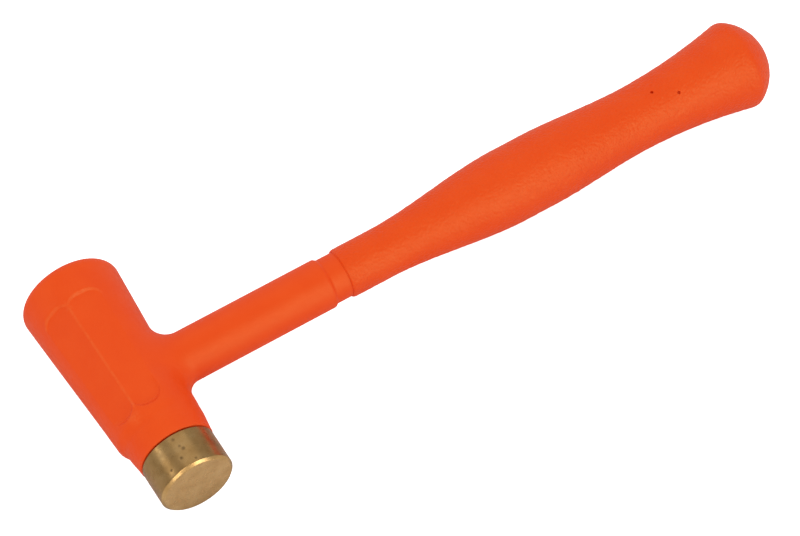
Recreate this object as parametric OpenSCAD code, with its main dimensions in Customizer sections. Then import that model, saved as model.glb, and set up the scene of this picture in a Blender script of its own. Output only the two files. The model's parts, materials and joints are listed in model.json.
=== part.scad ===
// Dead blow mallet: a shot-filled steel canister and a steel handle core inside a moulded jacket,
// with a brass face at one end of the head and a polymer face at the other.
// Millimetres. The mallet lies flat, +Z up. The origin is the centre of the brass striking face.
// +Y runs from the brass face along the head, and +X runs from the head along the handle.

/* [Head] */
// Length of the head, from the brass face to the polymer face
head_length = 128.8; // [125:0.1:135]
// Distance from the brass face to the handle's axis
handle_y = 64.3; // [62:0.1:67]
// Radius of the moulded barrel, level with the handle
barrel_r = 22.4; // [22:0.1:23.5]
// Growth of the barrel's radius for each millimetre towards the polymer face
barrel_draft = 0.06; // [0.04:0.005:0.065]
// How far the barrel's axis lies from the canister's axis, away from the handle
barrel_offset = 2; // [1.5:0.1:2.3]
// Rounding of the polymer face's edge
end_round = 5.5; // [4:0.5:7]
// Height of the crown on the polymer face
end_crown = 1; // [0.5:0.25:1.5]
// Radius of the collar behind the brass face
collar_r = 20.5; // [20.3:0.1:20.8]
// Radius of the jacket's lip at the brass face
lip_r = 19.6; // [19.3:0.1:20]

/* [Finger flats] */
// Angle of the ridge between the two flats, up from the handle's side
ridge_angle = 108.5; // [106:0.5:112]
// Angle between two neighbouring flats
flat_pitch = 39.5; // [36:0.5:42]
// End of the flats nearer the brass face, from the handle's axis
flat_start = -24.5; // [-26:0.5:-22]
// End of the flats nearer the polymer face, from the handle's axis
flat_end = 44.5; // [40:0.5:48]
// Corner radius of the flats
flat_corner = 6; // [4:0.5:6.5]

/* [Brass face] */
// Diameter of the brass face
brass_d = 38.1; // [37:0.1:38.5]
// Length of the brass that shows
brass_len = 20; // [17:0.5:21]
// Bevel round the striking face
brass_bevel = 1.3; // [0.6:0.1:1.8]
// Thread diameter of the stud
stud_d = 12; // [10:1:14]

/* [Canister] */
// Outside diameter of the steel tube
tube_d = 35; // [34:0.2:35.4]
// Wall of the steel tube
tube_wall = 2; // [1.5:0.25:2.5]
// Length of the canister
tube_len = 96; // [90:1:98]
// Thickness of the tapped plug at the brass end
plug_t = 14; // [13:0.5:16]
// Thickness of the disc at the polymer end
base_t = 5; // [4:0.5:6]

/* [Shot] */
// Diameter of a steel ball
ball_d = 5.9; // [5.5:0.1:5.9]
// Layers of balls, from the brass end
shot_layers = 8; // [8:1:8]

/* [Handle] */
// Diameter of the smooth shank
shank_d = 25.8; // [24:0.2:26.4]
// End of the shank, from the head's axis
shank_end = 107; // [100:1:110]
// Diameter of the neck band between shank and grip
neck_d = 23.5; // [22.5:0.1:24]
// Start of the grip
grip_start = 115; // [112:0.2:117]
// Radius of the grip at its start
root_r = 12.8; // [12.5:0.05:13]
// Radius of the grip's swell
swell_r = 19.1; // [18.5:0.05:19.5]
// Radius of the grip's waist
waist_r = 16.52; // [16:0.02:17]
// Radius of the pommel
pommel_r = 23.05; // [22.5:0.05:23.5]
// End of the pommel, from the head's axis
handle_end = 359.3; // [358:0.1:362]
// Diameter of the steel core rod
rod_d = 12; // [11:0.5:12]
// End of the core rod
rod_end = 336; // [332:1:338]

/* [Hidden] */
SHOT_NODES = [for (k = [1 : shot_layers]) str("shot_layer_", k)];
$fn = 96;
eps = 0.01;            // overshoot of a cut past an open face
overlap = 1;           // how far two joined pieces of one node run into each other
arc_steps = 10;        // chords in a rounded corner

// canister
tube_r = tube_d / 2;
bore_r = tube_r - tube_wall;
tube_start = brass_len;
tube_end = tube_start + tube_len;
stud_depth = 12;       // thread length in the brass and in the plug
stud_r = stud_d / 2;
stud_gap = 0.5;        // free depth at each end of the stud
stud_bevel = 0.8;
brass_r = brass_d / 2;
brass_back_bevel = 0.6;
lip_gap = 0.4;         // groove between the jacket's lip and the brass
lip_bevel = 0.4;
lip_flare_len = 6;     // the first part of the collar grows faster than the rest
lip_flare_share = 0.8;
collar_tail_len = 6;   // the collar's end, inside the barrel
collar_tail_rise = 0.3;

// shot
ball_pitch = 6.1;
layer_pitch = 6.1;
layer_turn = 30;       // each layer is turned from the last
shot_clearance = 0.3;  // from the plug at rest
ring_count = 6;

// rod, socket, weld, pin and collar
rod_r = rod_d / 2;
rod_start = tube_r + 0.3;
rod_bevel = 1;
socket_r = 9.5;
socket_end = 42;
weld_leg = 3.5;
weld_start = 12;
weld_end = 19.5;
pin_r = 2;
pin_bore_r = 1.2;
pin_slot = 0.9;
pin_len = 17.6;
pin_x = 31;
collar_disc_r = 13;
collar_disc_t = 4;
collar_disc_x = 322;

// jacket and grip
spigot_r = 9.2;
key_r = 10.6;
key_len = 5;
key_pitch = 45;
key_first = 135;
key_count = 4;
shoulder_y = 34.5;     // where the collar meets the barrel's shoulder
shoulder_round = 2;
shoulder_steps = 5;    // chords in a small rounding
fillet_r = 9.5;        // between barrel and shank
fillet_x = 30;         // where the fillet meets the shank
fillet_angle = 58;
fillet_base_x = 8;
fillet_base_r = 17.4;
shank_bevel_len = 2.2;
flat_cut = 6;
flat_margin = 0.9;     // how far a flat's outline runs past the barrel's surface at its sides
root_x = 136.6;
swell_x = 211;
swell_len = 16.6;
waist_x = 281.4;
flare_gain = 0.00175;
flare_power = 2;
flare_slope = 12;      // where the flare meets the rounding of the pommel
flare_steps = 44;
grip_bevel = 0.9;
grip_bevel_len = 2;
dome_r = 25.7;
dome_steps = 12;
dome_pole = 3;         // the dome's arc stops this many degrees from the axis
pommel_round = 6.8;
pin_hole_r = 0.9;
pin_hole_depth = 1.5;
pin_holes = [[293.2, 4], [304.7, 27]]; // distance along the handle, and degrees from the top

orange = [0.93, 0.31, 0.13];
steel = [0.72, 0.73, 0.75];
brass = [0.78, 0.62, 0.33];

function mix(a, b, t) = a + (b - a) * t;
function smooth(u) = let (t = min(max(u, 0), 1)) t * t * (3 - 2 * t);
function arc(cx, cy, r, a0, a1, n = arc_steps) =
    [for (i = [0 : n]) let (a = mix(a0, a1, i / n)) [cx + r * cos(a), cy + r * sin(a)]];
function flip(points) = [for (p = points) [p[1], p[0]]];

// Turns a shape that stands on Z to run along the head or along the handle.
module along_head() {
    rotate([-90, 0, 0]) children();
}

module along_handle() {
    translate([0, handle_y, 0]) rotate([0, 90, 0]) children();
}

module disc(r, from, to) {
    translate([0, 0, from]) cylinder(r = r, h = to - from);
}

// ---------- brass face and stud ----------

module brass_face() {
    color(brass) along_head() difference() {
        rotate_extrude() polygon([
            [0, 0], [brass_r - brass_bevel, 0], [brass_r, brass_bevel], [brass_r, brass_len - brass_back_bevel],
            [brass_r - brass_back_bevel, brass_len], [0, brass_len]]);
        disc(stud_r, brass_len - stud_depth - stud_gap, brass_len + eps);
    }
}

module tip_stud() {
    low = brass_len - stud_depth;
    high = brass_len + stud_depth;
    color(steel) along_head() rotate_extrude() polygon([
        [0, low], [stud_r - stud_bevel, low], [stud_r, low + stud_bevel],
        [stud_r, high - stud_bevel], [stud_r - stud_bevel, high], [0, high]]);
}

// ---------- canister ----------

module canister_tube() {
    color(steel) along_head() difference() {
        disc(tube_r, tube_start, tube_end);
        disc(bore_r, tube_start - eps, tube_end + eps);
    }
}

module canister_plug() {
    color(steel) along_head() difference() {
        disc(bore_r, tube_start, tube_start + plug_t);
        disc(stud_r, tube_start - eps, tube_start + stud_depth + stud_gap);
    }
}

module canister_base() {
    color(steel) along_head() disc(bore_r, tube_end - base_t, tube_end);
}

// One flat layer of balls: one in the middle, a ring of six, and a ring of twelve in a hexagon.
module shot_layer(k) {
    z = tube_start + plug_t + shot_clearance + ball_d / 2 + (k - 1) * layer_pitch;
    color(steel) along_head() translate([0, 0, z]) rotate([0, 0, layer_turn * k]) {
        sphere(d = ball_d);
        for (i = [0 : ring_count - 1]) rotate([0, 0, 360 / ring_count * i]) {
            translate([ball_pitch, 0, 0]) sphere(d = ball_d);
            translate([2 * ball_pitch, 0, 0]) sphere(d = ball_d);
            translate([1.5 * ball_pitch, sqrt(3) / 2 * ball_pitch, 0]) sphere(d = ball_d);
        }
    }
}

// ---------- handle core ----------

module rod_socket() {
    color(steel) difference() {
        along_handle() disc(socket_r, weld_start, socket_end);
        along_handle() disc(rod_r, weld_start - eps, socket_end + eps);
        along_head() disc(tube_r, tube_start, tube_end);
        rod_pin_hole();
    }
}

module socket_weld() {
    color(steel) difference() {
        along_handle() rotate_extrude() polygon([
            [socket_r, weld_start], [socket_r + weld_leg, weld_start], [socket_r, weld_end]]);
        along_head() disc(tube_r, tube_start, tube_end);
    }
}

module rod_pin_hole() {
    translate([pin_x, handle_y, -socket_r - overlap]) cylinder(r = pin_r, h = 2 * (socket_r + overlap));
}

module rod_pin() {
    color(steel) translate([pin_x, handle_y, -pin_len / 2]) difference() {
        cylinder(r = pin_r, h = pin_len);
        translate([0, 0, -eps]) cylinder(r = pin_bore_r, h = pin_len + 2 * eps);
        translate([0, -pin_slot / 2, -eps]) cube([pin_r + overlap, pin_slot, pin_len + 2 * eps]);
    }
}

module core_rod() {
    color(steel) difference() {
        along_handle() rotate_extrude() polygon([
            [0, rod_start], [rod_r, rod_start], [rod_r, rod_end - rod_bevel],
            [rod_r - rod_bevel, rod_end], [0, rod_end]]);
        rod_pin_hole();
    }
}

module core_collar() {
    color(steel) along_handle() difference() {
        disc(collar_disc_r, collar_disc_x, collar_disc_x + collar_disc_t);
        disc(rod_r, collar_disc_x - eps, collar_disc_x + collar_disc_t + eps);
    }
}

// ---------- jacket ----------

function barrel_radius(y) = barrel_r + barrel_draft * (y - handle_y);

// The drafted barrel, on its own axis, with a small rounding at the shoulder and a large one at the face.
// The crown is a parabola, so halfway out it has dropped by a quarter of its height.
module barrel() {
    face = head_length - end_crown;
    face_r = barrel_radius(face - end_round);
    back_r = barrel_radius(shoulder_y);
    translate([-barrel_offset, 0, 0]) along_head() rotate_extrude() polygon(concat(
        [[0, shoulder_y]],
        arc(back_r - shoulder_round, shoulder_y + shoulder_round, shoulder_round, -90, 0, shoulder_steps),
        arc(face_r - end_round, face - end_round, end_round, 0, 90),
        [[(face_r - end_round) / 2, face + end_crown * 3 / 4], [0, head_length]]));
}

module lip_collar() {
    lip_y = brass_len + lip_gap;
    along_head() rotate_extrude() polygon([
        [0, lip_y], [lip_r - lip_bevel, lip_y], [lip_r, lip_y + lip_bevel],
        [mix(lip_r, collar_r, lip_flare_share), brass_len + lip_flare_len], [collar_r, shoulder_y],
        [collar_r + collar_tail_rise, shoulder_y + collar_tail_len], [0, shoulder_y + collar_tail_len]]);
}

// Spigot under the grip: a plain bar with raised keys that the grip locks on.
module spigot() {
    disc(spigot_r, grip_start - overlap, collar_disc_x);
    for (i = [0 : key_count - 1])
        disc(key_r, key_first + key_pitch * i, key_first + key_pitch * i + key_len);
}

module shank() {
    along_handle() {
        rotate_extrude() polygon(concat(
            [[0, 0], [shank_d / 2, 0], [fillet_base_r, fillet_base_x]],
            flip(arc(fillet_x, shank_d / 2 + fillet_r, fillet_r, 270 - fillet_angle, 270)),
            [[shank_d / 2, shank_end - shank_bevel_len], [neck_d / 2, shank_end],
             [neck_d / 2, grip_start], [0, grip_start]]));
        spigot();
    }
}

// Outline of a flat: its sides spread with the draft, and its four corners are rounded.
module flat_outline(len, low_half, high_half) {
    corner = flat_corner + flat_margin;
    low = low_half + flat_margin;
    high = high_half + flat_margin;
    end = len / 2 - corner;
    polygon([[-low, -end], [low, -end], [high, end], [-high, end]]);
    for (half = [[-end, low], [end, high]]) translate([0, half[0]]) {
        square([2 * (half[1] - corner), 2 * corner], center = true);
        for (side = [-1, 1]) translate([side * (half[1] - corner), 0]) circle(r = corner);
    }
}

// The cut that leaves one flat on the barrel, over a plane that follows the draft.
module flat_cutter(angle) {
    half = flat_pitch / 2;
    mid = (flat_start + flat_end) / 2;
    len = flat_end - flat_start;
    mid_r = barrel_r + barrel_draft * mid;
    spread = barrel_draft * len / 2;
    translate([-barrel_offset, handle_y + mid, 0]) along_head() rotate([0, 0, angle])
        translate([mid_r * cos(half), 0, 0]) rotate([0, atan(barrel_draft * cos(half)), 0])
        rotate([90, 0, 90]) linear_extrude(height = flat_cut)
        flat_outline(len, (mid_r - spread) * sin(half), (mid_r + spread) * sin(half));
}

// Everything steel that the jacket is moulded round.
module core_cavity() {
    along_head() disc(tube_r, brass_len, tube_end);
    along_handle() {
        disc(socket_r, weld_start, socket_end);
        disc(rod_r, socket_end - overlap, collar_disc_x + overlap);
        rotate_extrude() polygon([
            [0, weld_start], [socket_r + weld_leg, weld_start], [socket_r, weld_end], [0, weld_end]]);
    }
}

module head_jacket() {
    color(orange) difference() {
        union() {
            barrel();
            lip_collar();
            shank();
        }
        for (side = [-1, 1]) for (turn = [-0.5, 0.5]) flat_cutter(side * (ridge_angle + turn * flat_pitch));
        core_cavity();
    }
}

// ---------- grip ----------

function grip_radius(x) =
    x < swell_x + swell_len
    ? mix(root_r, swell_r, smooth((x - root_x) / (swell_x - root_x)))
    : mix(swell_r, waist_r, smooth((x - swell_x - swell_len) / (waist_x - swell_x - swell_len)))
      + flare_gain * pow(max(x - waist_x, 0), flare_power);

module grip_outline() {
    dome_x = handle_end - dome_r;
    corner_r = pommel_r - pommel_round;
    corner_x = dome_x + sqrt(pow(dome_r - pommel_round, 2) - corner_r * corner_r);
    corner_angle = atan2(corner_r, corner_x - dome_x);
    side_start = grip_start + grip_bevel_len;
    side_step = (corner_x - pommel_round * sin(flare_slope) - side_start) / (flare_steps + 1);
    side = [for (i = [0 : flare_steps]) let (x = side_start + side_step * i) [x, grip_radius(x)]];
    rotate_extrude() polygon(flip(concat(
        [[grip_start, 0], [grip_start, root_r - grip_bevel]],
        side,
        arc(corner_x, corner_r, pommel_round, 90 + flare_slope, corner_angle, shoulder_steps),
        arc(dome_x, 0, dome_r, corner_angle - dome_pole, dome_pole, dome_steps),
        [[handle_end, 0]])));
}

module grip_cavity() {
    spigot();
    disc(collar_disc_r, collar_disc_x, collar_disc_x + collar_disc_t);
    rotate_extrude() polygon([
        [0, collar_disc_x], [rod_r, collar_disc_x], [rod_r, rod_end - rod_bevel],
        [rod_r - rod_bevel, rod_end], [0, rod_end]]);
}

module grip() {
    color(orange) difference() {
        along_handle() grip_outline();
        along_handle() grip_cavity();
        for (hole = pin_holes)
            translate([hole[0], handle_y, 0]) rotate([hole[1], 0, 0])
                translate([0, 0, grip_radius(hole[0]) - pin_hole_depth])
                    cylinder(r = pin_hole_r, h = pin_hole_depth + overlap);
    }
}

head_jacket();
grip();
brass_face();
tip_stud();
canister_tube();
canister_plug();
canister_base();
rod_socket();
socket_weld();
rod_pin();
core_rod();
core_collar();
for (k = [1 : shot_layers])
    shot_layer(k);
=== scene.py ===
import json
import math

import bmesh
import bpy
import numpy as np
from mathutils import Matrix, Vector


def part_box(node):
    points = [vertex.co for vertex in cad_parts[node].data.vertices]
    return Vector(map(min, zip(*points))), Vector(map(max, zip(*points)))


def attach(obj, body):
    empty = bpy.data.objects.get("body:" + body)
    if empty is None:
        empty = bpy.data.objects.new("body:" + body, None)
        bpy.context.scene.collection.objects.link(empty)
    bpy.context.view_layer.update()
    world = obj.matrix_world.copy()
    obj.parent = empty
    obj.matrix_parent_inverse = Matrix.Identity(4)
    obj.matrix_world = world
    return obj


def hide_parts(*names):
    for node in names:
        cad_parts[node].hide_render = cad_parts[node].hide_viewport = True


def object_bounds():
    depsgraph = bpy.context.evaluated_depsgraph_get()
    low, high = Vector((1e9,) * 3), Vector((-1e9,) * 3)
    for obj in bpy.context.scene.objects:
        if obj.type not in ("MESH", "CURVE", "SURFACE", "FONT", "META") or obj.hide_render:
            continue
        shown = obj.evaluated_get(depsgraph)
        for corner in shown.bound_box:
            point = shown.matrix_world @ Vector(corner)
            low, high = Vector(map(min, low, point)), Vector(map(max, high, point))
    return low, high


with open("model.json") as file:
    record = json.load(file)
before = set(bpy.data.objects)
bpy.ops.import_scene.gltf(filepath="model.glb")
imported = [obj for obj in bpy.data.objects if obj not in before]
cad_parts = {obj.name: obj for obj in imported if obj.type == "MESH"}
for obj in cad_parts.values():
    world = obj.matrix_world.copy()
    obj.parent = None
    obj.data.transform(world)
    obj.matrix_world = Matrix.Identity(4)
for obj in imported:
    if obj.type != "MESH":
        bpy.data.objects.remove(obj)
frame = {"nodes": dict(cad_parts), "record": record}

# Dead blow mallet: the looks of the head's jacket, the grip, the brass face and the steel inside.
# Shapes are worked out in millimetres in the CAD frame: the head lies along +Y from the brass face,
# and the handle along +X. Meshes are written in metres.

MM = 0.001
CAD_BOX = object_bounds()


# ---------------------------------------------------------------- sizes

def box_mm(node):
    low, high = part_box(node)
    return low / MM, high / MM


jacket_low, jacket_high = box_mm("head_jacket")
grip_low, grip_high = box_mm("grip")
brass_low, brass_high = box_mm("brass_face")
tube_low, tube_high = box_mm("canister_tube")
socket_low, socket_high = box_mm("rod_socket")
weld_low, weld_high = box_mm("socket_weld")
rod_low, rod_high = box_mm("core_rod")
collar_low, collar_high = box_mm("core_collar")
stud_low, stud_high = box_mm("tip_stud")

HEAD_LENGTH = jacket_high.y
HANDLE_Y = (rod_low.y + rod_high.y) / 2
LIP_Y = jacket_low.y                    # where the jacket ends, just behind the brass
BRASS_R = brass_high.z
BRASS_LENGTH = brass_high.y
GRIP_START = grip_low.x
HANDLE_END = grip_high.x
POMMEL_R = grip_high.z

# the barrel of the head
DRAFT = 0.06                            # growth of its radius towards the polymer face
END_ROUND = 5.5
END_CROWN = 1.0
BARREL_R = jacket_high.z - DRAFT * (HEAD_LENGTH - END_CROWN - END_ROUND - HANDLE_Y)
BARREL_X = jacket_low.x + jacket_high.z  # its axis, a little away from the handle
SHOULDER_Y = 34.5
SHOULDER_ROUND = 3.4

# the collar between the barrel's shoulder and the brass
COLLAR_BLEND = 3.0
LIP_ROUND = 0.7
LIP_R = 19.45
COLLAR_RISE = 1.0                       # how much wider it gets over the first stretch from the lip
COLLAR_RISE_LENGTH = 11.0
COLLAR_SLOPE = 0.03                     # its draft after that
COLLAR_SLOPE_START = 8.0
COLLAR_END = 44.0                       # where it starts to dive under the barrel, and how fast
COLLAR_DIVE = 0.012

# the finger flats
RIDGE_ANGLE = math.radians(108.5)
FLAT_PITCH = math.radians(39.5)
FLAT_MIDDLE = HANDLE_Y + 10.0
FLAT_LENGTH = 69.0
FLAT_CORNER = 6.0
FLAT_EDGE_ROUND = 0.4
FLAT_FLOOR_ROUND = 0.4
FLAT_WALL_RISE = 0.7                    # its end walls slope, and meet the outline this far above its floor
FLAT_MARGIN = 0.9                       # how far a flat's outline runs past the barrel's surface

# a painted highlight patch on the shoulder
SHOULDER_HIGHLIGHT_ANGLE = math.radians(117)
SHOULDER_HIGHLIGHT_Y = 37.5
SHOULDER_HIGHLIGHT_FADE = (1.0, 5.0)                 # distances from its middle

# lines painted lighter on the edges of the flats, a painted highlight round their far ends: distances off an
# edge, and along a flat from its corner's start
RIDGE_FADE = (0.3, 0.9)
RIDGE_END_FADE = (-3.0, 1.0)
FAR_END_FADE = (0.4, 1.0)
FAR_END_START = (1.0, 4.0)
FAR_END_OUT = 0.1

# shank, neck and grip
SHANK_R = 12.9
SHANK_FILLET = 9.5
SHANK_CUT_X = 36.0                      # where the moulded head's mesh meets the turned shank's
SHANK_END = 107.0
SHANK_BEVEL = 2.2                       # its length along the shank
NECK_R = 11.75
ROOT_R = 12.8
ROOT_BEVEL = 0.9
ROOT_BEVEL_LENGTH = 2.0
SWELL_R = 19.1
WAIST_R = 16.52
ROOT_X = 136.6
SWELL_X = 211.0
SWELL_LENGTH = 16.6
WAIST_X = 281.4
FLARE_GAIN = 0.00175
FLARE_POWER = 2.0
DOME_R = 25.7
POMMEL_ROUND = 6.8
FLARE_SLOPE = math.radians(12)
PIN_HOLES = ((293.2, math.radians(4)), (304.7, math.radians(27)))
PIN_HOLE_R = 0.9
PIN_HOLE_DEPTH = 1.5

# brass
BRASS_BEVEL = 1.3

# inside
TUBE_R = tube_high.z
ROD_R = rod_high.z
SPIGOT_R = 9.2
KEY_R = 10.6
KEY_LENGTH = 5.0
KEY_STARTS = (135.0, 180.0, 225.0, 270.0)

# fineness of the meshes
HEAD_STEP = 0.54                        # cell of the grid that the head's surface is drawn from
SHANK_STEP = 1.5
SHANK_SEGMENTS = 144
GRIP_STEP = 0.55
GRIP_SEGMENTS = 190
BRASS_STEP = 0.4
BRASS_SEGMENTS = 320
CORE_SEGMENTS = 96
TUBE_SEGMENTS = 160
STUD_SEGMENTS = 64
PIN_SEGMENTS = 24

GRAIN_HEIGHT = 0.04                     # of the grip's moulded stipple
GRAIN_SEED = 11
DENT_SEED = 5

# the view and its light
VIEW_AZIMUTH = math.radians(-26.33)
VIEW_ELEVATION = math.radians(57.26)
VIEW_ROLL = math.radians(-5.46)
VIEW_AIM = (0.41854, 0.29930, 0.94965)  # shares of the CAD box
VIEW_DISTANCE = 1.6                     # metres
VIEW_LENS = 151.39
LIGHT_DISTANCE = 1.5                    # metres
FLOOR_REACH = 3.0
FLOOR_GAP = 0.0002
FLOOR_SHADES = (0.84, 0.88)
FLOOR_GLOW = 0.85                       # light that only the camera sees
FLOOR_IN_REFLECTIONS = 0.62
FLOOR_DIM_EDGE = (-0.012, 0.0)          # where it starts to be dimmed in them, just in front of the brass
WORLD_LIGHT = 1.0
WORLD_IN_REFLECTIONS = 0.42


# ---------------------------------------------------------------- mesh helpers

def new_object(name, vertices, faces, scale=MM):
    mesh = bpy.data.meshes.new(name)
    mesh.from_pydata([tuple(v) for v in np.asarray(vertices) * scale], [], [tuple(f) for f in faces])
    mesh.validate()
    mesh.update()
    obj = bpy.data.objects.new(name, mesh)
    bpy.context.scene.collection.objects.link(obj)
    return obj


def shade(obj, sharp_angle=32):
    obj.data.shade_smooth()
    obj.data.set_sharp_from_angle(angle=math.radians(sharp_angle))


def along_handle(along, radius, turn):
    return np.stack((along, HANDLE_Y - radius * np.sin(turn), radius * np.cos(turn)), -1)


def along_head(along, radius, turn):
    return np.stack((radius * np.cos(turn), along, radius * np.sin(turn)), -1)


def lathe(name, profile, place, segments):
    """Closed turned solid. profile is (along, radius) from one pole or end to the other; place puts
    it round the handle's or the head's axis. Ends that stop short of the axis are closed flat."""
    profile = np.asarray(profile, float)
    turn = np.linspace(0, 2 * np.pi, segments, endpoint=False)
    along = np.repeat(profile[:, :1], segments, 1)
    radius = np.repeat(profile[:, 1:], segments, 1)
    rings = place(along, radius, turn[None, :])
    return grid_solid(name, rings, place(profile[[0, -1], 0], np.zeros(2), np.zeros(2)))


def grid_solid(name, rings, poles):
    count, segments = rings.shape[:2]
    vertices = np.concatenate((rings.reshape(-1, 3), poles))
    low_pole, high_pole = count * segments, count * segments + 1
    j = np.arange(segments)
    k = (j + 1) % segments
    faces = []
    for i in range(count - 1):
        a, b = i * segments, (i + 1) * segments
        faces += np.stack((a + j, a + k, b + k, b + j), 1).tolist()
    faces += [(low_pole, int(n), int(m)) for m, n in zip(j, k)]
    top = (count - 1) * segments
    faces += [(high_pole, int(top + m), int(top + n)) for m, n in zip(j, k)]
    obj = new_object(name, vertices, faces)
    fix_normals(obj)
    return obj


def fix_normals(obj):
    work = bmesh.new()
    work.from_mesh(obj.data)
    bmesh.ops.remove_doubles(work, verts=work.verts, dist=1e-7)
    bmesh.ops.recalc_face_normals(work, faces=work.faces)
    work.to_mesh(obj.data)
    work.free()


def combine(obj, others, operation):
    """Boolean of obj with each of the others, which are used up."""
    for other in others:
        step = obj.modifiers.new("combine", "BOOLEAN")
        step.operation = operation
        step.solver = "MANIFOLD"
        step.object = other
        graph = bpy.context.evaluated_depsgraph_get()
        mesh = bpy.data.meshes.new_from_object(obj.evaluated_get(graph))
        obj.modifiers.remove(step)
        old = obj.data
        obj.data = mesh
        bpy.data.meshes.remove(old)
        bpy.data.objects.remove(other)
    return obj


def arc(along, radius, size, start, end, steps):
    """Points of a circle of that size round (along, radius), from start to end in radians."""
    turn = np.linspace(start, end, steps)
    return np.stack((along + size * np.cos(turn), radius + size * np.sin(turn)), 1).tolist()


def subdivide(points, step):
    """The same outline with points no more than a step apart."""
    out = [points[0]]
    for a, b in zip(points, points[1:]):
        pieces = max(1, math.ceil(math.dist(a, b) / step))
        out += [[a[0] + (b[0] - a[0]) * i / pieces, a[1] + (b[1] - a[1]) * i / pieces]
                for i in range(1, pieces + 1)]
    return out


def smooth_step(value):
    t = np.clip(value, 0, 1)
    return t * t * (3 - 2 * t)


# ---------------------------------------------------------------- head jacket

def round_max(a, b, size):
    """Intersection of two solids' distance fields, its edge rounded."""
    corner = np.hypot(np.maximum(a + size, 0), np.maximum(b + size, 0))
    return np.minimum(np.maximum(a, b), -size) + corner


def round_min(a, b, size):
    """Union of two solids' distance fields, its corner filleted."""
    return -round_max(-a, -b, size)


def barrel_radius(y):
    return BARREL_R + DRAFT * (y - HANDLE_Y)


def barrel_field(x, y, z):
    from_axis = np.hypot(x - BARREL_X, z)
    radius = barrel_radius(y)
    side = (from_axis - radius) / math.hypot(1, DRAFT)
    face = y - HEAD_LENGTH + END_CROWN * (from_axis / radius) ** 2
    return round_max(round_max(side, face, END_ROUND), SHOULDER_Y - y, SHOULDER_ROUND)


def collar_field(x, y, z):
    """The collar grows from the lip, and dives under the barrel past the start of the shank's fillet."""
    from_lip = y - LIP_Y
    rise = LIP_R + COLLAR_RISE * smooth_step(from_lip / COLLAR_RISE_LENGTH)
    rise = rise + COLLAR_SLOPE * np.maximum(from_lip - COLLAR_SLOPE_START, 0)
    radius = rise - COLLAR_DIVE * np.maximum(y - COLLAR_END, 0) ** 2
    return round_max(np.hypot(x, z) - radius, LIP_Y - y, LIP_ROUND)


def flat_field(x, y, z, angle):
    """The space cut away above one flat: over a plane that follows the draft, in a round-ended outline."""
    half = FLAT_PITCH / 2
    radial = (x - BARREL_X) * math.cos(angle) + z * math.sin(angle)
    across = np.abs(z * math.cos(angle) - (x - BARREL_X) * math.sin(angle))
    along = np.abs(y - FLAT_MIDDLE)
    radius = barrel_radius(y)
    plane = radius * math.cos(half) - radial
    corner = FLAT_CORNER + FLAT_MARGIN
    side = across - radius * math.sin(half) - FLAT_MARGIN + corner
    end = along - FLAT_LENGTH / 2 + corner
    outside = np.hypot(np.maximum(side, 0), np.maximum(end, 0))
    outline = outside + np.minimum(np.maximum(side, end), 0) - corner
    wall = (outline + plane + FLAT_WALL_RISE) * math.sqrt(0.5)
    return round_max(plane, wall, FLAT_FLOOR_ROUND)


def head_field(x, y, z):
    solid = round_min(barrel_field(x, y, z), collar_field(x, y, z), COLLAR_BLEND)
    shank = np.maximum(np.hypot(y - HANDLE_Y, z) - SHANK_R, -x)
    solid = round_min(solid, shank, SHANK_FILLET)
    for side in (-1, 1):
        for turn in (-0.5, 0.5):
            cut = flat_field(x, y, z, side * (RIDGE_ANGLE + turn * FLAT_PITCH))
            solid = round_max(solid, -cut, FLAT_EDGE_ROUND)
    return np.maximum(solid, x - SHANK_CUT_X)


def surface_net(field, low, high, step):
    """Vertices and quads of the surface field = 0: one vertex in each grid cell that it crosses."""
    axes = [np.arange(a, b + step, step) for a, b in zip(low, high)]
    value = field(axes[0][:, None, None], axes[1][None, :, None], axes[2][None, None, :])
    shape = tuple(n - 1 for n in value.shape)
    total = np.zeros(shape + (3,))
    crossed = np.zeros(shape)
    for axis in range(3):
        near = value[tuple(slice(0, -1) if i == axis else slice(None) for i in range(3))]
        far = value[tuple(slice(1, None) if i == axis else slice(None) for i in range(3))]
        cross = (near < 0) != (far < 0)
        share = np.where(cross, near / np.where(cross, near - far, 1), 0)
        others = [i for i in range(3) if i != axis]
        for da in (0, 1):
            for db in (0, 1):
                pick = [slice(None)] * 3
                pick[others[0]] = slice(da, shape[others[0]] + da)
                pick[others[1]] = slice(db, shape[others[1]] + db)
                hit = cross[tuple(pick)]
                total[..., axis] += np.where(hit, share[tuple(pick)], 0)
                total[..., others[0]] += hit * da
                total[..., others[1]] += hit * db
                crossed += hit
    cells = np.nonzero(crossed)
    index = np.full(shape, -1)
    index[cells] = np.arange(len(cells[0]))
    offset = total[cells] / crossed[cells][:, None]
    vertices = np.array(low) + (np.stack(cells, 1) + offset) * step
    return vertices, net_faces(value < 0, index)


def net_faces(inside, index):
    """One quad across each grid edge that passes through the surface, wound outwards."""
    faces = []
    for axis in range(3):
        a, b = [i for i in range(3) if i != axis]
        near = inside[tuple(slice(0, -1) if i == axis else slice(1, -1) for i in range(3))]
        far = inside[tuple(slice(1, None) if i == axis else slice(1, -1) for i in range(3))]
        cell = np.stack(np.nonzero(near != far), 1)
        outward = near[tuple(cell.T)]
        cell[:, a] += 1
        cell[:, b] += 1
        ring = []
        for da, db in ((1, 1), (0, 1), (0, 0), (1, 0)):
            corner = cell.copy()
            corner[:, a] -= da
            corner[:, b] -= db
            ring.append(index[tuple(corner.T)])
        quads = np.stack(ring, 1)
        flip = outward if axis == 1 else ~outward
        quads[flip] = quads[flip][:, ::-1]
        faces.append(quads)
    return np.concatenate(faces)


def gradient(field, points, reach=0.02):
    out = np.empty_like(points)
    for axis in range(3):
        step = np.zeros(3)
        step[axis] = reach
        out[:, axis] = (field(*(points + step).T) - field(*(points - step).T)) / (2 * reach)
    return out


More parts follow.
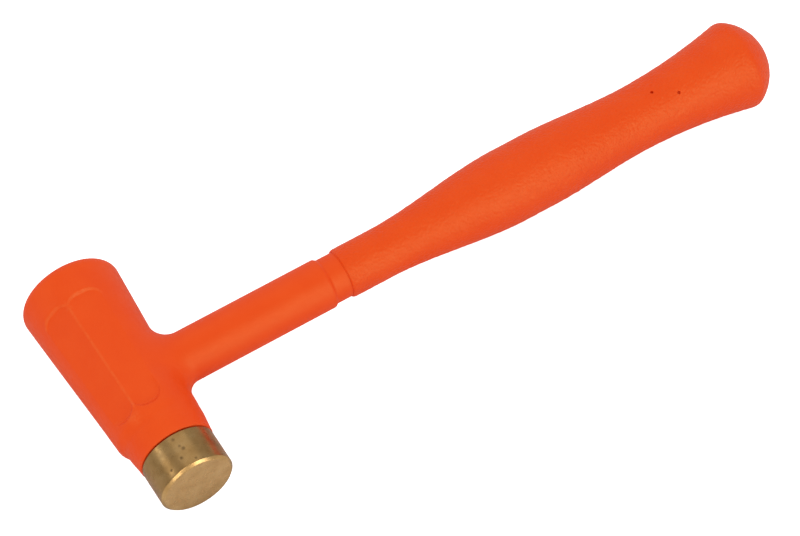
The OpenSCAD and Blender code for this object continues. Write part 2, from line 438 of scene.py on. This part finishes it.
def settle(field, points, faces, rounds=3):
    """Evens the vertices out along the surface and puts them exactly on it."""
    edges = np.concatenate([faces[:, [i, (i + 1) % 4]] for i in range(4)])
    for _ in range(rounds):
        total = np.zeros_like(points)
        count = np.zeros(len(points))
        np.add.at(total, edges[:, 0], points[edges[:, 1]])
        np.add.at(count, edges[:, 0], 1)
        points = points + 0.5 * (total / count[:, None] - points)
        for _ in range(2):
            slope = gradient(field, points)
            size = np.maximum((slope ** 2).sum(1), 0.2)
            points = points - slope * (field(*points.T) / size)[:, None]
    return points


def turned_shank():
    """Outline of the rest of the shank, its bevelled end and the neck band, which join_shank turns into a
    ring mesh open at the head.
    """
    drop = SHANK_R - NECK_R
    outline = subdivide([[SHANK_CUT_X + 0.5, SHANK_R], [SHANK_END - SHANK_BEVEL - 0.6, SHANK_R]], SHANK_STEP)
    outline += [[SHANK_END - SHANK_BEVEL * (1 - t), NECK_R + drop * (1 - smooth_step(t))]
                for t in (-0.1, 0.15, 0.3, 0.45, 0.6, 0.75, 0.88, 1.0)]
    outline += subdivide([[SHANK_END + 0.6, NECK_R], [GRIP_START - 0.02, NECK_R]], SHANK_STEP)
    return np.array(outline)


def head_jacket():
    low = (jacket_low.x - 1, LIP_Y - 1, jacket_low.z - 1)
    high = (SHANK_CUT_X + 2, HEAD_LENGTH + 1, jacket_high.z + 1)
    points, faces = surface_net(head_field, low, high, HEAD_STEP)
    points = settle(head_field, points, faces)
    obj = new_object("jacket_head", points, faces)
    join_shank(obj)
    combine(obj, spigot_and_keys(), "UNION")
    combine(obj, core_solids(), "DIFFERENCE")
    shade(obj)
    return obj


def spigot_and_keys():
    """The spigot that carries the neck on inside the grip, and the rings that key it there."""
    outline = [[GRIP_START - 3, SPIGOT_R], [collar_low.x, SPIGOT_R]]
    spigot = lathe("spigot", outline, along_handle, CORE_SEGMENTS)
    keys = [lathe("key", [[x, KEY_R], [x + KEY_LENGTH, KEY_R]], along_handle, CORE_SEGMENTS)
            for x in KEY_STARTS]
    return [spigot] + keys


def join_shank(obj):
    """Cuts the head's mesh square across the shank and carries it on as the turned shank and neck."""
    work = bmesh.new()
    work.from_mesh(obj.data)
    cut = bmesh.ops.bisect_plane(
        work, geom=work.verts[:] + work.edges[:] + work.faces[:], dist=1e-6,
        plane_co=((SHANK_CUT_X - 1) * MM, 0, 0), plane_no=(1, 0, 0), clear_outer=True)
    rim = [e for e in cut["geom_cut"] if isinstance(e, bmesh.types.BMEdge)]
    for vertex in {v for e in rim for v in e.verts}:
        turn = math.atan2(vertex.co.y - HANDLE_Y * MM, vertex.co.z)
        vertex.co.y = HANDLE_Y * MM + SHANK_R * MM * math.sin(turn)
        vertex.co.z = SHANK_R * MM * math.cos(turn)
    outline = turned_shank()
    turns = np.linspace(0, 2 * np.pi, SHANK_SEGMENTS, endpoint=False)
    rings = []
    for along, radius in outline:
        ring = along_handle(np.full(SHANK_SEGMENTS, along), np.full(SHANK_SEGMENTS, radius), turns) * MM
        rings.append([work.verts.new(p) for p in ring])
    around = [(j, (j + 1) % SHANK_SEGMENTS) for j in range(SHANK_SEGMENTS)]
    for a, b in zip(rings, rings[1:]):
        for j, k in around:
            work.faces.new((a[j], a[k], b[k], b[j]))
    first = [work.edges.get((rings[0][j], rings[0][k])) for j, k in around]
    bmesh.ops.bridge_loops(work, edges=rim + first)
    end = work.verts.new((outline[-1][0] * MM, HANDLE_Y * MM, 0))
    for j, k in around:
        work.faces.new((rings[-1][j], rings[-1][k], end))
    bmesh.ops.recalc_face_normals(work, faces=work.faces)
    work.to_mesh(obj.data)
    work.free()


def core_solids():
    """The steel that the jacket is moulded round, as cutters."""
    socket = [[weld_low.x + 1, weld_high.z], [weld_high.x - 4, weld_high.z - 1],
              [weld_high.x, socket_high.z], [socket_high.x, socket_high.z]]
    rod = [[socket_high.x - 2, ROD_R], [collar_high.x + 2, ROD_R]]
    return [
        lathe("cut_tube", [[BRASS_LENGTH - 2, TUBE_R], [tube_high.y, TUBE_R]], along_head, TUBE_SEGMENTS),
        lathe("cut_socket", socket, along_handle, CORE_SEGMENTS),
        lathe("cut_rod", rod, along_handle, CORE_SEGMENTS),
    ]


# ---------------------------------------------------------------- grip

def grip_radius(x):
    swell = ROOT_R + (SWELL_R - ROOT_R) * smooth_step((x - ROOT_X) / (SWELL_X - ROOT_X))
    fall = smooth_step((x - SWELL_X - SWELL_LENGTH) / (WAIST_X - SWELL_X - SWELL_LENGTH))
    flare = FLARE_GAIN * np.maximum(x - WAIST_X, 0) ** FLARE_POWER
    waist = SWELL_R + (WAIST_R - SWELL_R) * fall + flare
    return np.where(x < SWELL_X + SWELL_LENGTH, swell, waist)


def grip_outline(step):
    dome_x = HANDLE_END - DOME_R
    corner_r = POMMEL_R - POMMEL_ROUND
    corner_x = dome_x + math.sqrt((DOME_R - POMMEL_ROUND) ** 2 - corner_r ** 2)
    corner_turn = math.atan2(corner_r, corner_x - dome_x)
    side_end = corner_x - POMMEL_ROUND * math.sin(FLARE_SLOPE) - step
    along = np.arange(GRIP_START + ROOT_BEVEL_LENGTH + step, side_end, step)
    points = subdivide([[GRIP_START, 1.0], [GRIP_START, ROOT_R - ROOT_BEVEL]], 1.0)
    points += [[GRIP_START + ROOT_BEVEL_LENGTH * (1 - math.cos(t)),
                ROOT_R - ROOT_BEVEL * (1 - math.sin(t))]
               for t in np.linspace(0, math.pi / 2, 9)[1:]]
    points += np.stack((along, grip_radius(along)), 1).tolist()
    points += arc(corner_x, corner_r, POMMEL_ROUND, math.pi / 2 + FLARE_SLOPE, corner_turn, 13)
    points += arc(dome_x, 0, DOME_R, corner_turn, 0.04, 36)[1:]
    return np.array(points)


def moulded_grain(shape, seed):
    """Even random bumps on a grid that closes round its second direction, about one unit high."""
    grain = np.random.default_rng(seed).normal(size=shape)
    grain = (grain + np.roll(grain, 1, 1) + np.roll(grain, -1, 1)) / 3
    grain = (grain + np.roll(grain, 1, 0) + np.roll(grain, -1, 0)) / 3
    return grain / grain.std()


def grip():
    outline = grip_outline(GRIP_STEP)
    height = GRAIN_HEIGHT * moulded_grain((len(outline), GRIP_SEGMENTS), GRAIN_SEED)
    fade = smooth_step((outline[:, 0] - GRIP_START - ROOT_BEVEL_LENGTH) / 3)
    fade = fade * smooth_step((outline[:, 1] - 2) / 6)
    radius = outline[:, 1:] + height * fade[:, None]
    turn = np.linspace(0, 2 * np.pi, GRIP_SEGMENTS, endpoint=False)
    rings = along_handle(np.repeat(outline[:, :1], GRIP_SEGMENTS, 1), radius, turn[None, :])
    poles = along_handle(np.array([GRIP_START, HANDLE_END]), np.zeros(2), np.zeros(2))
    obj = grid_solid("moulded_grip", rings, poles)
    collar = [[collar_low.x, collar_high.z], [collar_high.x, collar_high.z]]
    rod = [[collar_low.x - 3, ROD_R], [rod_high.x, ROD_R]]
    steel_cutters = [lathe("cut_" + name, outline, along_handle, CORE_SEGMENTS)
                     for name, outline in (("collar", collar), ("rod", rod))]
    combine(obj, spigot_and_keys() + steel_cutters + pin_cutters(), "DIFFERENCE")
    shade(obj, 50)
    return obj


def pin_cutters():
    """Two narrow tapered holes left by the pins that held the core in the mould."""
    cutters = []
    for x, tilt in PIN_HOLES:
        surface = float(grip_radius(np.array(x)))
        outline = [[surface - PIN_HOLE_DEPTH, PIN_HOLE_R * 0.8], [surface + 1, PIN_HOLE_R]]

        def place(along, radius, turn):
            side = radius * np.cos(turn)
            up = np.full_like(side, 1.0) * along
            across = radius * np.sin(turn)
            return np.stack((x + side, HANDLE_Y + across * math.cos(tilt) - up * math.sin(tilt),
                             up * math.cos(tilt) + across * math.sin(tilt)), -1)

        cutters.append(lathe("cut_pin", outline, place, PIN_SEGMENTS))
    return cutters


# ---------------------------------------------------------------- brass face

# deep dings on the side of the brass: place along it, angle round it in degrees, size and depth
BRASS_DINGS = [(6.5, 100.0, 0.6, 0.18), (10.5, 90.0, 0.7, 0.20), (12.5, 93.0, 0.5, 0.14),
               (17.0, 96.0, 0.6, 0.14), (4.5, 121.0, 0.5, 0.12), (3.0, 82.0, 0.5, 0.14)]
FINE_DINGS = 60
DIRT_FADE = (0.4, 1.9)                  # shares of a ding's size


def brass_dents(along, turn):
    """Depth of the dings on the side of the brass: the deep ones and a scatter of finer ones."""
    depth = np.zeros(np.broadcast(along, turn).shape)
    scatter = np.random.default_rng(DENT_SEED)
    marks = list(BRASS_DINGS)
    marks += [(scatter.uniform(2, BRASS_LENGTH - 1), scatter.uniform(0, 360), scatter.uniform(0.25, 0.5),
               scatter.uniform(0.02, 0.06)) for _ in range(FINE_DINGS)]
    for y, degrees, size, drop in marks:
        around = np.angle(np.exp(1j * (turn - math.radians(degrees)))) * BRASS_R
        depth += drop * np.exp(-((along - y) ** 2 + around ** 2) / size ** 2)
    return depth


def brass_outline():
    outline = subdivide([[0.0, 1.0], [0.0, BRASS_R - BRASS_BEVEL - 0.2]], 1.2)
    outline += [[0.03, BRASS_R - BRASS_BEVEL - 0.06], [0.13, BRASS_R - BRASS_BEVEL + 0.08]]
    bevel = [[0.2, BRASS_R - BRASS_BEVEL + 0.16], [BRASS_BEVEL - 0.2, BRASS_R - 0.2]]
    outline += subdivide(bevel, 0.3)
    outline += [[BRASS_BEVEL - 0.08, BRASS_R - 0.1], [BRASS_BEVEL + 0.06, BRASS_R - 0.03]]
    outline += subdivide([[BRASS_BEVEL + 0.2, BRASS_R], [BRASS_LENGTH - 0.6, BRASS_R]], BRASS_STEP)
    outline += [[BRASS_LENGTH, BRASS_R - 0.6], [BRASS_LENGTH, 0.8]]
    return np.array(outline)


def brass_face():
    outline = brass_outline()
    turn = np.linspace(0, 2 * np.pi, BRASS_SEGMENTS, endpoint=False)[None, :]
    along = np.repeat(outline[:, :1], BRASS_SEGMENTS, 1)
    on_side = smooth_step((outline[:, 0] - BRASS_BEVEL) / 0.8) * (outline[:, 0] < BRASS_LENGTH - 0.7)
    radius = outline[:, 1:] - brass_dents(along, turn) * on_side[:, None]
    rings = along_head(along, radius, turn)
    obj = grid_solid("brass_striker", rings, along_head(outline[[0, -1], 0], np.zeros(2), np.zeros(2)))
    stud = [[stud_low.y - 0.5, stud_high.z], [BRASS_LENGTH + 2, stud_high.z]]
    combine(obj, [lathe("cut_stud", stud, along_head, STUD_SEGMENTS)], "DIFFERENCE")
    shade(obj)
    return obj


# ---------------------------------------------------------------- materials

class Nodes:
    """Short calls for building one procedural material."""

    def __init__(self, name):
        self.material = bpy.data.materials.new(name)
        self.material.use_nodes = True
        self.tree = self.material.node_tree
        self.tree.nodes.clear()
        self.shader = self.add("ShaderNodeBsdfPrincipled")
        output = self.add("ShaderNodeOutputMaterial")
        self.link(self.shader.outputs[0], output.inputs["Surface"])
        self.coordinates = self.add("ShaderNodeTexCoord").outputs["Object"]

    def add(self, kind, **settings):
        node = self.tree.nodes.new(kind)
        for key, value in settings.items():
            setattr(node, key, value)
        return node

    def link(self, source, target):
        self.tree.links.new(source, target)

    def set(self, **values):
        for key, value in values.items():
            self.shader.inputs[key.replace("_", " ")].default_value = value

    def noise(self, size_mm, detail=3.0, roughness=0.5, stretch=None):
        """Noise whose features are about size_mm across, stretched along an axis if asked."""
        node = self.add("ShaderNodeTexNoise")
        node.inputs["Scale"].default_value = 1 / (size_mm * MM)
        node.inputs["Detail"].default_value = detail
        node.inputs["Roughness"].default_value = roughness
        self.link(self.stretched(stretch), node.inputs["Vector"])
        return node.outputs["Fac"]

    def cells(self, size_mm):
        node = self.add("ShaderNodeTexVoronoi", feature="SMOOTH_F1")
        node.inputs["Scale"].default_value = 1 / (size_mm * MM)
        self.link(self.coordinates, node.inputs["Vector"])
        return node.outputs["Distance"]

    def stretched(self, stretch):
        if stretch is None:
            return self.coordinates
        node = self.add("ShaderNodeMapping")
        node.inputs["Scale"].default_value = stretch
        self.link(self.coordinates, node.inputs["Vector"])
        return node.outputs["Vector"]

    def ramp(self, source, stops):
        """Colours or greys at places between 0 and 1."""
        node = self.add("ShaderNodeValToRGB")
        elements = node.color_ramp.elements
        while len(elements) < len(stops):
            elements.new(0.5)
        for element, (place, value) in zip(elements, stops):
            element.position = place
            element.color = (*value, 1) if isinstance(value, tuple) else (value, value, value, 1)
        self.link(source, node.inputs["Fac"])
        return node.outputs["Color"]

    def map(self, source, low, high, out_low, out_high):
        node = self.add("ShaderNodeMapRange")
        limits = {"From Min": low, "From Max": high, "To Min": out_low, "To Max": out_high}
        for key, value in limits.items():
            node.inputs[key].default_value = value
        self.link(source, node.inputs["Value"])
        return node.outputs["Result"]

    def fade(self, distance, full, end):
        """1 up to a distance in millimetres, and 0 from the end distance on."""
        return self.map(distance, full * MM, end * MM, 1.0, 0.0)

    def math(self, operation, a, b):
        node = self.add("ShaderNodeMath", operation=operation)
        for socket, value in zip(node.inputs, (a, b)):
            if isinstance(value, (int, float)):
                socket.default_value = value
            else:
                self.link(value, socket)
        return node.outputs[0]

    def mix(self, amount, source, colour):
        """The source, changed to a plain colour by the amount."""
        node = self.add("ShaderNodeMix", data_type="RGBA")
        self.link(amount, node.inputs[0])
        self.link(source, node.inputs[6])
        node.inputs[7].default_value = (*colour, 1)
        return node.outputs[2]

    def place(self):
        """The X, Y and Z of the surface."""
        node = self.add("ShaderNodeSeparateXYZ")
        self.link(self.coordinates, node.inputs[0])
        return node.outputs

    def spot(self, centre, full, end):
        """1 near a point, fading to 0 at the end distance from it."""
        node = self.add("ShaderNodeVectorMath", operation="DISTANCE")
        self.link(self.coordinates, node.inputs[0])
        node.inputs[1].default_value = [c * MM for c in centre]
        return self.fade(node.outputs["Value"], full, end)

    def bump(self, height, depth_mm, strength=1.0, below=None):
        node = self.add("ShaderNodeBump")
        node.inputs["Strength"].default_value = strength
        node.inputs["Distance"].default_value = depth_mm * MM
        self.link(height, node.inputs["Height"])
        if below is not None:
            self.link(below, node.inputs["Normal"])
        return node.outputs["Normal"]

    def finish(self, colour=None, roughness=None, normal=None):
        for socket, source in (("Base Color", colour), ("Roughness", roughness), ("Normal", normal)):
            if source is not None:
                self.link(source, self.shader.inputs[socket])
        return self.material


ORANGE = (0.855, 0.057, 0.002)
ORANGE_LIGHT = (0.865, 0.062, 0.003)
ORANGE_DEEP = (0.845, 0.053, 0.0015)
# lighter colour painted along the ridge of the flats, and painted highlight round their far ends and on the
# shoulder
ORANGE_PAINTED_HIGHLIGHT = (0.865, 0.082, 0.011)
ORANGE_GLOSS = (0.35, 1.0, 0.4, 1.0)    # tint of its reflections
BRASS_DULL, BRASS, BRASS_BRIGHT = (0.46, 0.26, 0.09), (0.54, 0.32, 0.12), (0.60, 0.38, 0.16)
BRASS_DIRT = (0.13, 0.07, 0.03)


def orange_colour(m, size_mm):
    """Small drifts of the pigment, as flow in the mould leaves them."""
    return m.ramp(m.noise(size_mm, 4), [(0.3, ORANGE_DEEP), (0.5, ORANGE), (0.72, ORANGE_LIGHT)])


def lighter_ridge_and_painted_highlights(m):
    """1 along the ridge between two finger flats, painted lighter, and round their far ends, a painted
    highlight, on both sides of the head; also the painted highlight on the shoulder.
    """
    place = m.place()
    x = m.math("SUBTRACT", place["X"], BARREL_X * MM)
    y = m.math("SUBTRACT", place["Y"], FLAT_MIDDLE * MM)
    z = m.math("ABSOLUTE", place["Z"], 0.0)
    ridge = m.fade(across_angle(m, x, z, RIDGE_ANGLE), *RIDGE_FADE)
    inner, outer = (FLAT_LENGTH / 2 + reach for reach in RIDGE_END_FADE)
    mask = m.math("MULTIPLY", ridge, m.fade(m.math("ABSOLUTE", y, 0.0), inner, outer))
    # painted highlight round each flat's far end
    for turn in (-0.5, 0.5):
        across = across_angle(m, x, z, RIDGE_ANGLE + turn * FLAT_PITCH)
        mask = m.math("MAXIMUM", mask, painted_far_end_highlight(m, across, y))
    mask = m.math("MULTIPLY", mask, m.map(m.noise(2.5, 3), 0.35, 0.6, 0.4, 1.0))
    # and the painted highlight on the shoulder
    return m.math("MAXIMUM", mask, painted_shoulder_highlight(m))


def painted_shoulder_highlight(m):
    """A speckled painted highlight on the barrel's shoulder, at the end of the ridge."""
    shoulder_r = barrel_radius(SHOULDER_Y)
    across, up = shoulder_r * math.cos(SHOULDER_HIGHLIGHT_ANGLE), shoulder_r * math.sin(SHOULDER_HIGHLIGHT_ANGLE)
    spot = m.spot((BARREL_X + across, SHOULDER_HIGHLIGHT_Y, up), *SHOULDER_HIGHLIGHT_FADE)
    return m.math("MULTIPLY", spot, m.map(m.noise(1.1, 3), 0.38, 0.6, 0.2, 1.0))


def across_angle(m, x, z, angle):
    """Distance from the plane through the barrel's axis at an angle round it."""
    upwards = m.math("MULTIPLY", z, math.cos(angle))
    sideways = m.math("MULTIPLY", x, math.sin(angle))
    return m.math("ABSOLUTE", m.math("SUBTRACT", upwards, sideways), 0.0)


def painted_far_end_highlight(m, across, y):
    """1 round the end of a finger flat that is nearer to the polymer face, where a highlight is painted."""
    corner = FLAT_CORNER + FLAT_MARGIN
    half_width = barrel_radius(FLAT_MIDDLE + FLAT_LENGTH / 2) * math.sin(FLAT_PITCH / 2) + FLAT_MARGIN
    side = m.math("MAXIMUM", m.math("SUBTRACT", across, (half_width - corner) * MM), 0.0)
    end = m.math("MAXIMUM", m.math("SUBTRACT", y, (FLAT_LENGTH / 2 - corner) * MM), 0.0)
    reach = m.math("POWER", m.math("ADD", m.math("POWER", side, 2.0), m.math("POWER", end, 2.0)), 0.5)
    off = m.math("ABSOLUTE", m.math("SUBTRACT", reach, (corner + FAR_END_OUT) * MM), 0.0)
    start, full = FAR_END_START
    return m.math("MULTIPLY", m.fade(off, *FAR_END_FADE), m.map(end, start * MM, full * MM, 0.0, 1.0))


def polyurethane(name):
    m = Nodes(name)
    m.set(IOR=1.46, Specular_IOR_Level=0.40, Specular_Tint=ORANGE_GLOSS)
    return m


def smooth_polyurethane():
    m = polyurethane("smooth_polyurethane")
    ripple = m.noise(3.2, 2)
    peel = m.noise(0.9, 3)
    normal = m.bump(peel, 0.08, 1.0, m.bump(ripple, 0.06, 0.8))
    roughness = m.map(m.noise(2.4, 3), 0.3, 0.7, 0.42, 0.54)
    # the ridge painted lighter, and painted highlights round the flats' far ends and on the shoulder
    return m.finish(m.mix(lighter_ridge_and_painted_highlights(m), orange_colour(m, 14), ORANGE_PAINTED_HIGHLIGHT), roughness, normal)


def grained_polyurethane():
    m = polyurethane("grained_polyurethane")
    grain = m.math("ADD", m.cells(1.1), m.math("MULTIPLY", m.noise(0.6, 2), 0.5))
    normal = m.bump(grain, 0.30, 1.0, m.bump(m.noise(4, 2), 0.08, 0.6))
    roughness = m.map(m.noise(1.0, 3), 0.3, 0.7, 0.34, 0.48)
    return m.finish(orange_colour(m, 16), roughness, normal)


def dirt_in_dings(m):
    """1 in the deep dings, where dirt stays, and 0 off them."""
    dirt = 0.0
    full, end = DIRT_FADE
    for along, degrees, size, _ in BRASS_DINGS:
        turn = math.radians(degrees)
        centre = (BRASS_R * math.cos(turn), along, BRASS_R * math.sin(turn))
        dirt = m.math("MAXIMUM", dirt, m.spot(centre, size * full, size * end))
    return m.math("MULTIPLY", dirt, m.map(m.noise(0.8, 3), 0.3, 0.6, 0.3, 0.75))


def turned_brass():
    m = Nodes("turned_brass")
    m.set(Metallic=1.0)
    patina = m.noise(7, 5, 0.6)
    colour = m.ramp(patina, [(0.3, BRASS_DULL), (0.5, BRASS), (0.75, BRASS_BRIGHT)])
    colour = m.mix(dirt_in_dings(m), colour, BRASS_DIRT)
    rings = m.noise(1.0, 3, 0.6, stretch=(0.05, 2.2, 0.05))
    normal = m.bump(m.noise(1.3, 4, 0.6), 0.02, 0.7, m.bump(rings, 0.012, 0.7))
    roughness = m.map(m.noise(3, 4, 0.6), 0.3, 0.7, 0.23, 0.38)
    return m.finish(colour, roughness, normal)


def steel(name, dark, light, low_rough, high_rough, size_mm, stretch=None):
    m = Nodes(name)
    m.set(Metallic=1.0)
    colour = m.ramp(m.noise(size_mm * 4, 5, 0.6), [(0.3, dark), (0.7, light)])
    grain = m.noise(size_mm, 4, 0.6, stretch)
    return m.finish(colour, m.map(grain, 0.3, 0.7, low_rough, high_rough), m.bump(grain, 0.03, 0.6))


def steel_materials():
    return {
        "zinc_steel": steel("zinc_steel", (0.50, 0.52, 0.56), (0.66, 0.66, 0.62), 0.25, 0.42, 1.0),
        "canister_steel": steel("drawn_tube_steel", (0.36, 0.37, 0.39), (0.50, 0.51, 0.53), 0.30, 0.48, 0.8,
                                (1, 0.06, 1)),
        "weld_steel": steel("weld_bead_steel", (0.16, 0.14, 0.13), (0.34, 0.32, 0.31), 0.38, 0.62, 1.4),
        "rod_steel": steel("bright_bar_steel", (0.42, 0.42, 0.43), (0.56, 0.56, 0.57), 0.24, 0.40, 0.7,
                           (0.05, 1, 1)),
        "shot_steel": steel("cast_shot_steel", (0.20, 0.20, 0.21), (0.38, 0.37, 0.37), 0.35, 0.60, 0.9),
    }


def dress_steel():
    """Gives each CAD node that stays in view its slot's finish."""
    finishes = steel_materials()
    for part in frame["record"]["subparts"]:
        if part["material_slot"] in finishes:
            mesh = frame["nodes"][part["node"]].data
            mesh.materials.clear()
            mesh.materials.append(finishes[part["material_slot"]])


# ---------------------------------------------------------------- stage

def direction(azimuth, elevation):
    """Away from the object: azimuth 0 is in front of the brass face, a quarter turn is past the pommel."""
    return Vector((math.sin(azimuth) * math.cos(elevation), -math.cos(azimuth) * math.cos(elevation),
                   math.sin(elevation)))


def camera():
    """Looks down on the mallet from in front of the brass face, rolled a little."""
    low, high = CAD_BOX
    aim = Vector([a + (b - a) * share for a, b, share in zip(low, high, VIEW_AIM)])
    back = direction(VIEW_AZIMUTH, VIEW_ELEVATION)
    right = Vector((math.cos(VIEW_AZIMUTH), math.sin(VIEW_AZIMUTH), 0))
    up = back.cross(right)
    side = right * math.cos(VIEW_ROLL) + up * math.sin(VIEW_ROLL)
    data = bpy.data.cameras.new("camera")
    data.lens = VIEW_LENS
    data.sensor_width = 36
    data.clip_start = 0.05
    data.clip_end = 20
    obj = bpy.data.objects.new("camera", data)
    rotation = Matrix((side, back.cross(side), back)).transposed().to_4x4()
    obj.matrix_world = Matrix.Translation(aim + back * VIEW_DISTANCE) @ rotation
    bpy.context.scene.collection.objects.link(obj)
    bpy.context.scene.camera = obj


def softbox(name, azimuth, elevation, width, height, radiance, fill=False):
    """Area light that faces the object, its angles in degrees and its sides in metres.
    It only shows in glossy surfaces, unless it fills in: the world gives the even light."""
    low, high = CAD_BOX
    middle = (Vector(low) + Vector(high)) / 2
    away = direction(math.radians(azimuth), math.radians(elevation))
    data = bpy.data.lights.new(name, "AREA")
    data.shape = "RECTANGLE"
    data.size = width
    data.size_y = height
    data.energy = radiance * math.pi * width * height
    obj = bpy.data.objects.new(name, data)
    obj.location = middle + away * LIGHT_DISTANCE
    obj.rotation_euler = away.to_track_quat("Z", "Y").to_euler()
    obj.visible_glossy = not fill
    obj.visible_diffuse = fill
    bpy.context.scene.collection.objects.link(obj)


def white_to_camera(m, strength):
    """Light that only the camera sees, so that the white surround doesn't flood the object."""
    seen = m.add("ShaderNodeLightPath").outputs["Is Camera Ray"]
    return m.math("MULTIPLY", seen, strength)


def dimmed_in_reflections(m):
    """1, but less in glossy surfaces, except in front of the brass face where the light falls."""
    behind = m.map(m.place()["Y"], *FLOOR_DIM_EDGE, 0.0, 1.0)
    reflected = m.add("ShaderNodeLightPath").outputs["Is Glossy Ray"]
    return m.map(m.math("MULTIPLY", behind, reflected), 0.0, 1.0, 1.0, FLOOR_IN_REFLECTIONS)


def floor(low, middle):
    corners = [(middle.x + a * FLOOR_REACH, middle.y + b * FLOOR_REACH, low[2] - FLOOR_GAP)
               for a, b in ((-1, -1), (1, -1), (1, 1), (-1, 1))]
    obj = new_object("floor", corners, [(0, 1, 2, 3)], 1)
    m = Nodes("white_floor")
    m.set(Specular_IOR_Level=0.1, Roughness=0.8)
    m.shader.inputs["Emission Color"].default_value = (1, 1, 1, 1)
    m.link(white_to_camera(m, FLOOR_GLOW), m.shader.inputs["Emission Strength"])
    tone = m.ramp(m.noise(300, 2), list(enumerate(FLOOR_SHADES)))
    obj.data.materials.append(m.finish(m.math("MULTIPLY", tone, dimmed_in_reflections(m))))


def studio_world(strength, in_reflections):
    """Even white surround, dimmer in reflections so that the plastic isn't veiled by it."""
    world = bpy.data.worlds.new("studio")
    world.use_nodes = True
    nodes, links = world.node_tree.nodes, world.node_tree.links
    path = nodes.new("ShaderNodeLightPath")
    level = nodes.new("ShaderNodeMapRange")
    level.inputs["To Min"].default_value = strength
    level.inputs["To Max"].default_value = in_reflections
    links.new(path.outputs["Is Glossy Ray"], level.inputs["Value"])
    links.new(level.outputs["Result"], nodes["Background"].inputs["Strength"])
    nodes["Background"].inputs["Color"].default_value = (1, 1, 1, 1)
    bpy.context.scene.world = world


def stage():
    low, high = CAD_BOX
    floor(low, (Vector(low) + Vector(high)) / 2)
    studio_world(WORLD_LIGHT, WORLD_IN_REFLECTIONS)
    softbox("front", 5, 20, 1.6, 1.2, 0.3)
    softbox("front_left", -34, 30, 0.28, 1.9, 4.0)
    softbox("front_right", 17, 24, 0.55, 1.9, 3.4)
    softbox("back_left", -124, 28, 0.6, 0.26, 1.3)
    softbox("back_right", 170, 58, 1.3, 1.3, 0.32)
    softbox("fill", 8, 14, 1.6, 1.0, 0.28, fill=True)
    bpy.context.scene.view_settings.view_transform = "Standard"


# ---------------------------------------------------------------- assembly

def dress(obj, material, node):
    obj.data.materials.clear()
    obj.data.materials.append(material)
    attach(obj, "mallet")
    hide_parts(node)


camera()
stage()
dress(head_jacket(), smooth_polyurethane(), "head_jacket")
dress(grip(), grained_polyurethane(), "grip")
dress(brass_face(), turned_brass(), "brass_face")
dress_steel()
